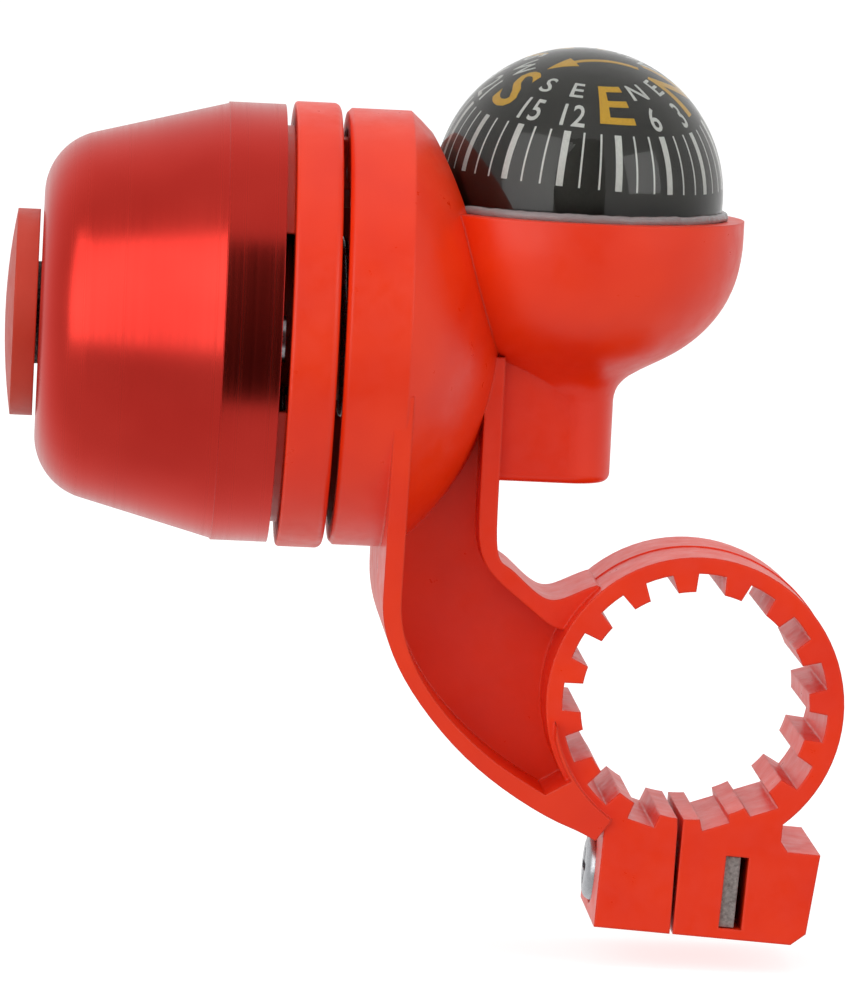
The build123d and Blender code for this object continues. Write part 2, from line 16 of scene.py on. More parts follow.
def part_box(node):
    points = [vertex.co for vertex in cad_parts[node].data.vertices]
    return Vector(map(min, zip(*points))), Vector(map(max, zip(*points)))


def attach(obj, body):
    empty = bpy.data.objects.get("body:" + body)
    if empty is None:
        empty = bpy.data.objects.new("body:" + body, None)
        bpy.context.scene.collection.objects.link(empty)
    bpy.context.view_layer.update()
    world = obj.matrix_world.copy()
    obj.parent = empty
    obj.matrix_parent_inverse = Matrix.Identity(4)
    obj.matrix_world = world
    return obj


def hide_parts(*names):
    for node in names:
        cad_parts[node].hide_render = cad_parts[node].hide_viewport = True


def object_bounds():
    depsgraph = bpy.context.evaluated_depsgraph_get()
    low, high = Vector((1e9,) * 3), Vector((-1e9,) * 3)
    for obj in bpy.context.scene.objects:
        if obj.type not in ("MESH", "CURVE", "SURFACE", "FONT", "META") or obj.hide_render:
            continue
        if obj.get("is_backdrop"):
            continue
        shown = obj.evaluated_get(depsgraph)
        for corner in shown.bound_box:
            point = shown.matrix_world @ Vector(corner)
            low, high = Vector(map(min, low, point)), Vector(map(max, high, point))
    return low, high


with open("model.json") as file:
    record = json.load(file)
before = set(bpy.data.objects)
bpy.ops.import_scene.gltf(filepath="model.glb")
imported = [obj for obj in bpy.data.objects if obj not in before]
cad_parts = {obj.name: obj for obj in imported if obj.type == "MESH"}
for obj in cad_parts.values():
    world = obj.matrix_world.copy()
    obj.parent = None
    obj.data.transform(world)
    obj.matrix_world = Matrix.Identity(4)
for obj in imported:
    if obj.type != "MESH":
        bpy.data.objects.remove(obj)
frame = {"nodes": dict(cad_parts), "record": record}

cad_low, cad_high = (Vector(corner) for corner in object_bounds())
nodes = frame["nodes"]
MM = 0.001
print("CAD nodes:", len(nodes), "box in mm:", [round(v / MM, 1) for v in cad_high - cad_low])

# %% [markdown]
# ## Camera
# A long lens far away keeps the sides of the clamp nearly parallel. The camera looks along
# +Y from a little above and a little to the dome's side, and it is rolled a few degrees,
# so the bell seems to lean back.

# %% Camera
AIM = Vector((-26.9, 0.0, 18.3)) * MM
AZIMUTH, ELEVATION, ROLL = (math.radians(a) for a in (-3.2, 6.1, 2.9))
DISTANCE = 700 * MM
FRAME_HEIGHT = 97.8 * MM        # what the camera sees from bottom to top, at the aim point
SENSOR = 36.0


def add_camera():
    """Place the camera by the direction it looks from, then roll it about its own axis."""
    back = Vector(
        (
            math.sin(AZIMUTH) * math.cos(ELEVATION),
            -math.cos(AZIMUTH) * math.cos(ELEVATION),
            math.sin(ELEVATION),
        )
    )
    data = bpy.data.cameras.new("camera")
    data.sensor_width = SENSOR
    data.lens = SENSOR * DISTANCE / FRAME_HEIGHT
    data.clip_start, data.clip_end = 0.01, 20.0
    piece = bpy.data.objects.new("camera", data)
    bpy.context.scene.collection.objects.link(piece)
    turn = (-back).to_track_quat("-Z", "Y").to_matrix() @ Matrix.Rotation(ROLL, 3, "Z")
    piece.matrix_world = Matrix.Translation(AIM + back * DISTANCE) @ turn.to_4x4()
    bpy.context.scene.camera = piece
    return piece


camera = add_camera()
print("lens", round(camera.data.lens, 1), "mm")

# %% [markdown]
# ## Helpers for materials
# A colour is written as the sRGB hex value that a colour picker shows, and one function
# turns it to the linear light that Blender works in. One small function adds a node with
# its settings and its links. Every pattern reads Object coordinates, which are metres
# here, so a grain of so many millimetres is a scale of one over that length.


# %% Colour and nodes
def linear(hex_value):
    """sRGB hex to linear RGBA."""
    parts = [int(hex_value[i : i + 2], 16) / 255 for i in (1, 3, 5)]
    return [c / 12.92 if c <= 0.04045 else ((c + 0.055) / 1.055) ** 2.4 for c in parts] + [1.0]


def add_node(tree, kind, inputs=None, **settings):
    """Add a node; an input is a value, or another node's socket to link."""
    node = tree.nodes.new(kind)
    for key, value in settings.items():
        setattr(node, key, value)
    for key, value in (inputs or {}).items():
        if isinstance(value, bpy.types.NodeSocket):
            tree.links.new(value, node.inputs[key])
        else:
            node.inputs[key].default_value = value
    return node


def new_material(name, **shader):
    """A material with one Principled shader, and its Object coordinates."""
    material = bpy.data.materials.new(name)
    material.use_nodes = True
    tree = material.node_tree
    tree.nodes.clear()
    inputs = {key.replace("_", " "): value for key, value in shader.items()}
    surface = add_node(tree, "ShaderNodeBsdfPrincipled", inputs)
    add_node(tree, "ShaderNodeOutputMaterial", {"Surface": surface.outputs[0]})
    place = add_node(tree, "ShaderNodeTexCoord").outputs["Object"]
    return material, tree, surface, place


def scale_for(size_mm):
    """Texture scale whose features are about size_mm across."""
    return 1 / (size_mm * MM)


print("a clean red in linear light:", [round(c, 3) for c in linear("#ef3606")])

# %% [markdown]
# ## One way to dress a surface
# Most finishes here differ in their patterns only. A pattern leads each of three things:
# the drift between two tones, the range of the shine, and a relief of a real depth. No real
# edge is sharp, so a bevel of a real radius turns the normals over every edge.

# %% Dress a surface
PATTERN_LOW, PATTERN_HIGH = 0.3, 0.7     # the range that noise fills most of the time
BEVEL_SAMPLES = 6


def dress(tree, surface, patterns, tones, shine, depth_mm, edge_mm):
    """Lead a surface's colour, roughness and normals by three patterns."""
    tone, gloss, height = patterns
    limits = {"From Min": PATTERN_LOW, "From Max": PATTERN_HIGH}
    drift = add_node(tree, "ShaderNodeMapRange", {"Value": tone, **limits})
    main, deep = (linear(colour) for colour in tones)
    mix = add_node(
        tree, "ShaderNodeMix", {"Factor": drift.outputs[0], 6: main, 7: deep}, data_type="RGBA"
    )
    tree.links.new(mix.outputs[2], surface.inputs["Base Color"])
    dull = {"Value": gloss, "To Min": shine[0], "To Max": shine[1], **limits}
    tree.links.new(
        add_node(tree, "ShaderNodeMapRange", dull).outputs[0], surface.inputs["Roughness"]
    )
    edge = add_node(
        tree, "ShaderNodeBevel", {"Radius": edge_mm * MM}, samples=BEVEL_SAMPLES
    )
    relief = {
        "Height": height,
        "Distance": depth_mm * MM,
        "Strength": 1.0,
        "Normal": edge.outputs[0],
    }
    tree.links.new(
        add_node(tree, "ShaderNodeBump", relief).outputs[0], surface.inputs["Normal"]
    )


print("bevel samples:", BEVEL_SAMPLES)

# %% [markdown]
# ## Red mouldings
# The bracket and the twist ring are glossy red ABS, injection moulded. The tool was
# spark-finished, which leaves a faint pebble in the gloss, and the plastic shows slow
# shifts of tone where it flowed. The cap in the middle of the dome is the same plastic from
# a duller tool.

# %% Red mouldings
FLOW_MM = 9.0                   # how far the tone stays the same
RUB_MM = 2.2                    # patches that handling has polished or dulled
ABS_IOR = 1.54


def moulded_abs(name, tones, shine, pebble_mm, depth_mm, edge_mm):
    """Injection-moulded ABS: one colour that drifts slowly, under a gloss with a pebble."""
    material, tree, surface, place = new_material(name, IOR=ABS_IOR, Specular_IOR_Level=0.4)
    flow = {"Vector": place, "Scale": scale_for(FLOW_MM)}
    rub = {"Vector": place, "Scale": scale_for(RUB_MM), "Detail": 5.0, "Roughness": 0.65}
    pebble = {"Vector": place, "Scale": scale_for(pebble_mm), "Detail": 3.0}
    patterns = [
        add_node(tree, "ShaderNodeTexNoise", inputs).outputs["Fac"]
        for inputs in (flow, rub, pebble)
    ]
    dress(tree, surface, patterns, tones, (shine - 0.06, shine + 0.10), depth_mm, edge_mm)
    return material


# ABS from a spark-finished tool: a deep red body with a soft, slightly pebbled gloss
red_moulding = moulded_abs(
    "red_moulded_abs",
    ("#ef3606", "#e52c04"),
    shine=0.33,
    pebble_mm=0.55,
    depth_mm=0.004,
    edge_mm=0.35,
)
# the same plastic from a duller tool: paler highlights that spread wide
cap_moulding = moulded_abs(
    "red_satin_abs",
    ("#cc3a1e", "#be2e14"),
    shine=0.42,
    pebble_mm=0.4,
    depth_mm=0.008,
    edge_mm=0.25,
)
print("red plastics:", red_moulding.name, cap_moulding.name)

# %% [markdown]
# ## Red anodised dome
# The dome is spun from aluminium sheet and dyed red in its anodic layer. Light passes the
# dye, comes back off the metal, and so even the highlights are red. Spinning leaves fine
# rings about the bell's axis, which lie in the roughness and in a very slight relief. The
# rings come from noise that reads only the station along the axis and the radius from it.

# %% Red anodised aluminium
BELL_Z = sum(corner[2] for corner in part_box("bell_dome")) / 2
CLOUD_MM = 12.0
RING_MM = 0.5                   # drawn coarser than real spinning marks, so that they show


def anodised(name, tones, shine, depth_mm, edge_mm):
    """Dyed anodised aluminium: red in the metal, with spun rings."""
    material, tree, surface, place = new_material(name, Metallic=1.0)
    cloud = add_node(
        tree, "ShaderNodeTexNoise", {"Vector": place, "Scale": scale_for(CLOUD_MM)}
    )
    split = add_node(tree, "ShaderNodeSeparateXYZ", {"Vector": place})
    height = add_node(
        tree, "ShaderNodeMath", {0: split.outputs["Z"], 1: BELL_Z}, operation="SUBTRACT"
    )
    flat = add_node(
        tree, "ShaderNodeCombineXYZ", {"X": split.outputs["Y"], "Y": height.outputs[0]}
    )
    radius = add_node(tree, "ShaderNodeVectorMath", {0: flat.outputs[0]}, operation="LENGTH")
    station = add_node(
        tree, "ShaderNodeCombineXYZ", {"X": split.outputs["X"], "Y": radius.outputs["Value"]}
    )
    rings = add_node(
        tree,
        "ShaderNodeTexNoise",
        {
            "Vector": station.outputs[0],
            "Scale": scale_for(RING_MM),
            "Detail": 3.0,
            "Roughness": 0.6,
        },
    ).outputs["Fac"]
    patterns = (cloud.outputs["Fac"], rings, rings)
    dress(tree, surface, patterns, tones, shine, depth_mm, edge_mm)
    return material


# red anodised aluminium: long soft highlights that stay red, and dark reflections
dome_metal = anodised(
    "red_anodised_aluminium",
    ("#da3d34", "#cf352d"),
    shine=(0.21, 0.29),
    depth_mm=0.0012,
    edge_mm=0.12,
)
print("bell axis height", round(BELL_Z / MM, 2), "mm")

# %% [markdown]
# ## Screws, springs, washers and the small inner pieces
# The clamp screw is steel under bright zinc: pale grey, slightly blue, with a fine matte
# grain from the plating bath. The nut is plain punched steel and rougher. Springs are
# bright drawn wire. Washers and the cam are white acetal or grey fibre. One recipe serves
# them all, because they differ only in colour, shine and grain.


# %% Small pieces
def fine_grain(name, tones, shine, grain_mm, depth_mm, metallic=1.0, edge_mm=0.1):
    """A plain surface with a fine grain in its colour, its shine and its relief."""
    material, tree, surface, place = new_material(name, Metallic=metallic)
    inputs = {"Vector": place, "Scale": scale_for(grain_mm), "Detail": 4.0, "Roughness": 0.6}
    grain = add_node(tree, "ShaderNodeTexNoise", inputs).outputs["Fac"]
    patterns = (grain, grain, grain)
    dress(tree, surface, patterns, tones, (shine - 0.07, shine + 0.07), depth_mm, edge_mm)
    return material


# after a name and two tones: the shine, then the grain's size and depth in millimetres
FINISHES = {
    "red_plastic": red_moulding,
    "red_cap_plastic": cap_moulding,
    "red_anodised": dome_metal,
    # bright zinc plate: pale grey with a soft grain that blurs what it mirrors
    "zinc_steel": fine_grain("zinc_plated_steel", ("#c6c7ca", "#aeb0b5"), 0.3, 0.25, 0.004),
    # punched steel: rough, so it looks grainy
    "plain_steel": fine_grain("punched_steel", ("#cfc6c2", "#8d8480"), 0.55, 0.35, 0.02),
    # drawn wire: bright, with tiny die marks
    "spring_steel": fine_grain("drawn_spring_steel", ("#b5b6b8", "#8f9194"), 0.26, 0.12, 0.002),
    # pressed fibre: dull and slightly fuzzy
    "fibre": fine_grain("pressed_fibre", ("#6d6258", "#574d44"), 0.8, 0.2, 0.02, metallic=0.0),
    # acetal: milky white with a waxy gloss
    "acetal": fine_grain("white_acetal", ("#e9e7e0", "#dedbd2"), 0.38, 0.5, 0.003, metallic=0.0),
    # turned brass: yellow, with soft tool marks
    "brass": fine_grain("turned_brass", ("#cfa650", "#b98f3c"), 0.28, 0.15, 0.003),
    # sintered ferrite: dark grey and matte
    "magnet": fine_grain("sintered_ferrite", ("#3a3a3c", "#2a2a2c"), 0.6, 0.1, 0.01, metallic=0.0),
    # nitrile seal: black rubber with a soft sheen
    "seal": fine_grain("black_nitrile", ("#1c1c1d", "#131314"), 0.55, 0.3, 0.006, metallic=0.0),
    # the card is moulded in black and left matte, so its print stands out
    "card_black": fine_grain("black_card", ("#0e0e0e", "#090909"), 0.55, 0.3, 0.002, metallic=0.0),
}
print("finishes:", len(FINISHES))

# %% [markdown]
# ## Clear capsule and its fluid
# The compass is a card that floats in oil inside an acrylic ball. Acrylic and oil bend
# light almost alike, so the eye sees one thick lens that stretches the card to fill the
# ball, and no edge where the oil touches the plastic. The ball's outer face therefore has
# the index, and the faces wetted by the oil have an index near one, because that is the
# ratio that light meets there.

# %% Clear materials
WAVE_MM = 4.0                   # the slow waves of a polished moulding
LENS_IOR = 1.45
MATCHED_IOR = 1.001


def clear(name, tint, ior, shine, wave_depth_mm):
    """A clear body: all light passes, bent by its index, under a very slight waviness."""
    material, tree, surface, place = new_material(
        name, Base_Color=linear(tint), IOR=ior, Roughness=shine, Transmission_Weight=1.0
    )
    wave = add_node(
        tree, "ShaderNodeTexNoise", {"Vector": place, "Scale": scale_for(WAVE_MM)}
    )
    relief = {"Height": wave.outputs["Fac"], "Distance": wave_depth_mm * MM, "Strength": 1.0}
    tree.links.new(
        add_node(tree, "ShaderNodeBump", relief).outputs[0], surface.inputs["Normal"]
    )
    return material


# clear acrylic: moulded and polished, so it mirrors the room with slow waves
outer_acrylic = clear("polished_acrylic", "#fdfdfb", LENS_IOR, shine=0.01, wave_depth_mm=0.004)
# acrylic wetted by oil: no visible edge
wetted_acrylic = clear(
    "oil_wetted_acrylic", "#ffffff", MATCHED_IOR, shine=0.0, wave_depth_mm=0.001
)
# damping oil: matched to the acrylic, with a trace of yellow
damping_oil = clear("damping_oil", "#fcfbf5", MATCHED_IOR, shine=0.0, wave_depth_mm=0.001)
FINISHES["clear_acrylic"] = outer_acrylic
FINISHES["fluid"] = damping_oil
print("clear:", outer_acrylic.name, wetted_acrylic.name, damping_oil.name)

# %% [markdown]
# ## Finish for every carried piece
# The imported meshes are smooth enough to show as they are. Each one takes the finish that
# its material slot names.

# %% Finish the carried pieces
slots = {part["node"]: part["material_slot"] for part in frame["record"]["subparts"]}
for name, node in nodes.items():
    node.data.materials.clear()
    node.data.materials.append(FINISHES[slots[name]])
print("finished", len(nodes), "pieces")

# %% [markdown]
# ## The capsule's clear half
# The upper half of the ball is a shell with a small flange that sits on the rim of the
# bowl. It is turned from one closed outline, and its inner faces take the wetted finish.


# %% Sizes of the capsule, from the frame
card_low, card_high = (Vector(corner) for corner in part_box("compass_card"))
CARD_R = (card_high.x - card_low.x) / 2
COMPASS = Vector(((card_low.x + card_high.x) / 2, 0.0, card_high.z - CARD_R))
shell_low, shell_high = (Vector(corner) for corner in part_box("capsule_dome"))
SHELL_R = shell_high.z - COMPASS.z
SHELL_WALL = 1.2 * MM           # the capsule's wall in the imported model
FLANGE_THICK = 0.8 * MM
SHELL_FLANGE_R = (shell_high.x - shell_low.x) / 2
FLANGE_TOP = shell_low.z + FLANGE_THICK
TURN_STEPS, ARC_STEPS = 128, 40
OUTER, WETTED = 0, 1            # the window's two finishes
print("window radius", round(SHELL_R / MM, 2), "mm, card radius", round(CARD_R / MM, 2), "mm")


# %% Turn an outline about the compass axis
def add_piece(name, mesh, materials, smooth=True):
    """Link a mesh as a piece at the origin."""
    piece = bpy.data.objects.new(name, mesh)
    bpy.context.scene.collection.objects.link(piece)
    for material in materials:
        mesh.materials.append(material)
    if smooth:
        mesh.shade_smooth()
    return piece


def turned_mesh(name, outline):
    """Turn a closed outline of (radius, height, finish) corners about the compass axis."""
    work = bmesh.new()
    turns = [math.tau * i / TURN_STEPS for i in range(TURN_STEPS)]
    rings = []
    for radius, height, _ in outline:
        if radius == 0:
            rings.append([work.verts.new((COMPASS.x, 0, height))] * TURN_STEPS)
            continue
        places = ((COMPASS.x + radius * math.cos(t), radius * math.sin(t)) for t in turns)
        rings.append([work.verts.new((x, y, height)) for x, y in places])
    for k, (_, _, finish) in enumerate(outline):
        low, high = rings[k], rings[(k + 1) % len(outline)]
        for i in range(TURN_STEPS):
            j = (i + 1) % TURN_STEPS
            corners = list(dict.fromkeys((low[i], low[j], high[j], high[i])))
            if len(corners) > 2:
                work.faces.new(corners).material_index = finish
    bmesh.ops.recalc_face_normals(work, faces=work.faces[:])
    mesh = bpy.data.meshes.new(name)
    work.to_mesh(mesh)
    work.free()
    return mesh


def shell_arc(radius, start_height, finish):
    """Corners along the ball, from a height up to its top."""
    start = math.asin((start_height - COMPASS.z) / radius)
    angles = [start + (math.pi / 2 - start) * i / ARC_STEPS for i in range(ARC_STEPS)]
    corners = [
        (radius * math.cos(a), COMPASS.z + radius * math.sin(a), finish) for a in angles
    ]
    return corners + [(0.0, COMPASS.z + radius, finish)]


outline = (
    [(SHELL_FLANGE_R, shell_low.z, OUTER), (SHELL_FLANGE_R, FLANGE_TOP, OUTER)]
    + shell_arc(SHELL_R, FLANGE_TOP, OUTER)
    + shell_arc(SHELL_R - SHELL_WALL, shell_low.z, WETTED)[::-1]
)
clear_dome = add_piece(
    "compass_window", turned_mesh("compass_window", outline), [outer_acrylic, wetted_acrylic]
)
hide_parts("capsule_dome")
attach(clear_dome, "frame")
print("window faces:", len(clear_dome.data.polygons))

# %% [markdown]
# ## Helpers for Geometry Nodes
# A tree gets one named input for each size, and ends in Realize Instances and Set
# Material. It is run once on an empty mesh, and its result is kept as a plain mesh.


# %% Grow a mesh from a tree
def grown_mesh(name, tree, values):
    """Run a tree on an empty mesh and return what it makes as a plain mesh."""
    carrier = bpy.data.objects.new(name, bpy.data.meshes.new(name + "_seed"))
    bpy.context.scene.collection.objects.link(carrier)
    modifier = carrier.modifiers.new("grow", "NODES")
    modifier.node_group = tree
    for identifier, value in values.items():
        modifier[identifier] = value
    evaluated = carrier.evaluated_get(bpy.context.evaluated_depsgraph_get())
    mesh = bpy.data.meshes.new_from_object(evaluated)
    carrier.modifiers.clear()
    bpy.data.objects.remove(carrier)
    return mesh


def new_tree(name, values):
    """A tree with one float or whole-number input for each size; returns what sets them."""
    tree = bpy.data.node_groups.new(name, "GeometryNodeTree")
    tree.interface.new_socket("Geometry", in_out="OUTPUT", socket_type="NodeSocketGeometry")
    settings = {}
    for label, value in values.items():
        kind = "NodeSocketInt" if isinstance(value, int) else "NodeSocketFloat"
        socket = tree.interface.new_socket(label, in_out="INPUT", socket_type=kind)
        settings[socket.identifier] = value
    return tree, add_node(tree, "NodeGroupInput").outputs, settings


def close_tree(tree, geometry, material):
    """End a tree in Realize Instances and Set Material."""
    real = add_node(tree, "GeometryNodeRealizeInstances", {"Geometry": geometry})
    done = add_node(
        tree, "GeometryNodeSetMaterial", {"Geometry": real.outputs[0], "Material": material}
    )
    add_node(tree, "NodeGroupOutput", {"Geometry": done.outputs[0]})


print("node trees so far:", len(bpy.data.node_groups))

# %% [markdown]
# ## Glue at the rim
# The capsule is glued into the bowl by hand, and a wavy bead of clear glue stands all
# round its flange. A bead follows a path, so Geometry Nodes make it: a circle is pushed
# about by noise and a small round section runs along it.

# %% Wavy bead
SECTION_CORNERS = 12


def wavy_bead(sizes, material):
    """A closed bead of round section along a circle that wanders a little."""
    tree, inputs, settings = new_tree("wavy_bead", sizes)
    circle = add_node(
        tree,
        "GeometryNodeCurvePrimitiveCircle",
        {"Resolution": inputs["Steps"], "Radius": inputs["Radius"]},
    )
    wander = add_node(
        tree,
        "ShaderNodeTexNoise",
        {"W": inputs["Seed"], "Scale": inputs["Waviness"], "Detail": 3.0},
        noise_dimensions="4D",
    )
    centred = add_node(
        tree,
        "ShaderNodeVectorMath",
        {0: wander.outputs["Color"], 1: (0.5, 0.5, 0.5)},
        operation="SUBTRACT",
    )
    shift = add_node(
        tree,
        "ShaderNodeVectorMath",
        {0: centred.outputs[0], "Scale": inputs["Wander"]},
        operation="SCALE",
    )
    moved = add_node(
        tree, "GeometryNodeSetPosition", {"Geometry": circle.outputs[0], "Offset": shift.outputs[0]}
    )
    section = add_node(
        tree,
        "GeometryNodeCurvePrimitiveCircle",
        {"Resolution": SECTION_CORNERS, "Radius": inputs["Thickness"]},
    )
    bead = add_node(
        tree,
        "GeometryNodeCurveToMesh",
        {"Curve": moved.outputs[0], "Profile Curve": section.outputs[0]},
    )
    close_tree(tree, bead.outputs[0], material)
    return tree, settings


# cured clear glue: milky, and soft in its gloss
clear_glue = new_material(
    "clear_glue",
    Base_Color=linear("#e9dcdc"),
    Roughness=0.25,
    IOR=1.47,
    Transmission_Weight=0.75,
)[0]
BEAD_OUT, BEAD_UP = 0.12 * MM, 0.35 * MM     # from the ball and from the flange's top
bead_sizes = {
    "Radius": SHELL_R + BEAD_OUT,
    "Thickness": 0.45 * MM,
    "Wander": 0.5 * MM,
    "Waviness": 900.0,
    "Seed": 7.0,
    "Steps": 360,
}
bead_mesh = grown_mesh("glue_bead", *wavy_bead(bead_sizes, clear_glue))
bead_mesh.transform(Matrix.Translation((COMPASS.x, 0, FLANGE_TOP + BEAD_UP)))
bead_mesh.materials.clear()
glue_bead = add_piece("glue_bead", bead_mesh, [clear_glue])
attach(glue_bead, "frame")
print("bead faces:", len(bead_mesh.polygons))

# %% [markdown]
# ## Parting line of the clamp
# The two halves of the mould meet in the middle of the clamp's width, and leave a fine
# ridge all round the ring. It is the same kind of bead, much thinner, in red.

# %% Parting line
CLAMP_R = 14.6 * MM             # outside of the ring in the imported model
ridge_sizes = {
    "Radius": CLAMP_R,
    "Thickness": 0.14 * MM,
    "Wander": 0.08 * MM,
    "Waviness": 400.0,
    "Seed": 3.0,
    "Steps": 360,
}
ridge_mesh = grown_mesh("parting_line", *wavy_bead(ridge_sizes, red_moulding))
ridge_mesh.transform(Matrix.Rotation(math.pi / 2, 4, "X"))
ridge_mesh.materials.clear()
parting_line = add_piece("parting_line", ridge_mesh, [red_moulding])
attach(parting_line, "frame")
print("parting line radius", round(CLAMP_R / MM, 1), "mm")

# %% [markdown]
# ## Ticks on the compass card
# The card carries a tick every ten degrees, and every third one is bold. They repeat
# around the card, so a Geometry Nodes tree makes them: a small bar is instanced along a
# circle, turned to face outwards, and realised into one mesh. The bars are then laid onto
# the ball, so that they follow its curve.

# %% Ticks by Geometry Nodes
BAR_STATIONS = 9                # corners along a bar, so that it can bend


def ring_of_bars(sizes, material):
    """A tree that puts bars on a circle around the Z axis, each facing outwards."""
    tree, inputs, settings = new_tree("ring_of_bars", sizes)
    circle = add_node(
        tree,
        "GeometryNodeMeshCircle",
        {"Vertices": inputs["Count"], "Radius": inputs["Radius"]},
    )
    size = add_node(
        tree,
        "ShaderNodeCombineXYZ",
        {"X": inputs["Depth"], "Y": inputs["Width"], "Z": inputs["Length"]},
    )
    bar = add_node(
        tree,
        "GeometryNodeMeshCube",
        {
            "Size": size.outputs[0],
            "Vertices X": 2,
            "Vertices Y": 2,
            "Vertices Z": BAR_STATIONS,
        },
    )
    position = add_node(tree, "GeometryNodeInputPosition")
    facing = add_node(
        tree,
        "FunctionNodeAlignRotationToVector",
        {"Vector": position.outputs[0]},
        axis="X",
        pivot_axis="Z",
    )
    bars = add_node(
        tree,
        "GeometryNodeInstanceOnPoints",
        {
            "Points": circle.outputs["Mesh"],
            "Instance": bar.outputs["Mesh"],
            "Rotation": facing.outputs[0],
        },
    )
    close_tree(tree, bars.outputs[0], material)
    return tree, settings


print("corners along a bar:", BAR_STATIONS)

# %% Inks and the card's surface
# printed inks: flat colour with a soft, dry surface
PRINT = {"grain_mm": 0.3, "depth_mm": 0.001, "metallic": 0.0, "edge_mm": 0.02}
white_ink = fine_grain("white_print", ("#e3e7ec", "#d3d8de"), shine=0.55, **PRINT)
gold_ink = fine_grain("gold_print", ("#e3b212", "#d6a30c"), shine=0.5, **PRINT)

TICK_LOW, TICK_HIGH = math.radians(5.5), math.radians(34.0)
EAST = math.radians(15.6)       # where the card's east faces, from -Y towards +X
LEAN = Matrix.Rotation(math.radians(3.0), 3, "Y")   # the card hangs a little off level
INK = 0.05 * MM                 # how thick the print stands
SUNK = 0.1                      # how much of that thickness lies below the card's surface
WHITE, GOLD = 0, 1
WIDE = 100.0                    # the bars' circle, wide enough to keep them well apart


def on_card(longitude, latitude, lift):
    """Point on the card's ball; longitude is measured from -Y towards +X."""
    radius = CARD_R + lift
    across = radius * math.cos(latitude)
    place = (
        across * math.sin(longitude),
        -across * math.cos(longitude),
        radius * math.sin(latitude),
    )
    return COMPASS + LEAN @ Vector(place)


def lay_ticks(name, count, width):
    """Bars around a wide circle, laid onto the ball between two latitudes."""
    sizes = {"Count": count, "Radius": WIDE, "Width": width, "Length": 1.0, "Depth": 1.0}
    mesh = grown_mesh(name, *ring_of_bars(sizes, white_ink))
    for corner in mesh.vertices:
        x, y, z = corner.co
        step = math.tau / count
        turn = round(math.atan2(y, x) / step) * step
        side = y * math.cos(turn) - x * math.sin(turn)
        out = x * math.cos(turn) + y * math.sin(turn) - WIDE
        latitude = TICK_LOW + (TICK_HIGH - TICK_LOW) * (z + 0.5)
        widen = 1 / math.cos(latitude) / (CARD_R / MM)
        corner.co = on_card(EAST + turn + side * widen, latitude, INK * (out + SUNK))
    for face in mesh.polygons:
        face.material_index = WHITE
    return mesh


bold = lay_ticks("bold_ticks", count=12, width=0.62)
fine = lay_ticks("fine_ticks", count=36, width=0.17)
print("tick corners:", len(bold.vertices), "bold,", len(fine.vertices), "fine")

# %% [markdown]
# ## Letters, numbers and the arrow
# Gold letters mark the four winds, and a number stands at each third tick between them: the
# heading in tens of degrees. Each text is turned to a mesh, cut finer so that it can bend,
# and laid onto the ball.

# %% Text as a mesh
CAPITAL = 0.73                  # height of a capital for a font size of one
LONGEST_EDGE = 0.7              # in millimetres


def finer(work, longest):
    """Cut long edges until none is longer than this."""
    for _ in range(4):
        edges = [e for e in work.edges if e.calc_length() > longest]
        if not edges:
            break
        bmesh.ops.subdivide_edges(work, edges=edges, cuts=1, use_grid_fill=True)
        bmesh.ops.triangulate(work, faces=work.faces[:])


def text_mesh(words, height, bolder, narrow):
    """Text as a thin solid in the XY plane, centred on its middle, in millimetres."""
    curve = bpy.data.curves.new("letters", "FONT")
    curve.body = words
    curve.size = height / CAPITAL
    curve.align_x = "CENTER"
    curve.offset = bolder
    curve.extrude = 0.5
    curve.space_character = 1.08
    curve.resolution_u = 3
    holder = bpy.data.objects.new("letters", curve)
    bpy.context.scene.collection.objects.link(holder)
    mesh = bpy.data.meshes.new_from_object(
        holder.evaluated_get(bpy.context.evaluated_depsgraph_get())
    )
    bpy.data.objects.remove(holder)
    mesh.transform(Matrix.Diagonal((narrow, 1.0, 1.0, 1.0)))
    return mesh


def lay_text(words, longitude, height, bolder, narrow, foot, finish):
    """Lay a text onto the ball, its foot at a latitude."""
    mesh = text_mesh(words, height, bolder, narrow)
    middle = foot + height / 2 / (CARD_R / MM)
    work = bmesh.new()
    work.from_mesh(mesh)
    bmesh.ops.remove_doubles(work, verts=work.verts[:], dist=1e-4)
    bmesh.ops.triangulate(work, faces=work.faces[:])
    finer(work, LONGEST_EDGE)
    for corner in work.verts:
        latitude = foot + corner.co.y / (CARD_R / MM)
        turn = longitude + corner.co.x / (CARD_R / MM) / math.cos(middle)
        corner.co = on_card(turn, latitude, INK * (corner.co.z + 0.5 + SUNK))
    for face in work.faces:
        face.material_index = finish
    work.to_mesh(mesh)
    work.free()
    return mesh


def bearing(heading):
    """Longitude of a heading in degrees on the card; headings grow to the left."""
    return EAST - math.radians(heading - 90)


WIND = {
    "height": 4.5, "bolder": 0.08, "narrow": 1.0, "foot": math.radians(40.5), "finish": GOLD
}
NUMBER = {
    "height": 2.4, "bolder": 0.03, "narrow": 0.74, "foot": math.radians(37.0), "finish": WHITE
}
LETTER = {
    "height": 1.9, "bolder": 0.02, "narrow": 0.95, "foot": math.radians(55.0), "finish": WHITE
}
APART = 15                      # degrees from a letter to the middle of its pair
prints = [
    lay_text(letter, bearing(heading), **WIND)
    for heading, letter in ((0, "N"), (90, "E"), (180, "S"), (270, "W"))
]
for heading in (30, 60, 120, 150, 210, 240, 300, 330):
    prints.append(lay_text(str(heading // 10), bearing(heading), **NUMBER))
for heading, letters in ((45, "NE"), (136, "SE"), (225, "SW"), (315, "NW")):
    for side, letter in zip((APART, -APART), letters):
        prints.append(lay_text(letter, bearing(heading + side), **LETTER))
print("texts:", len(prints))

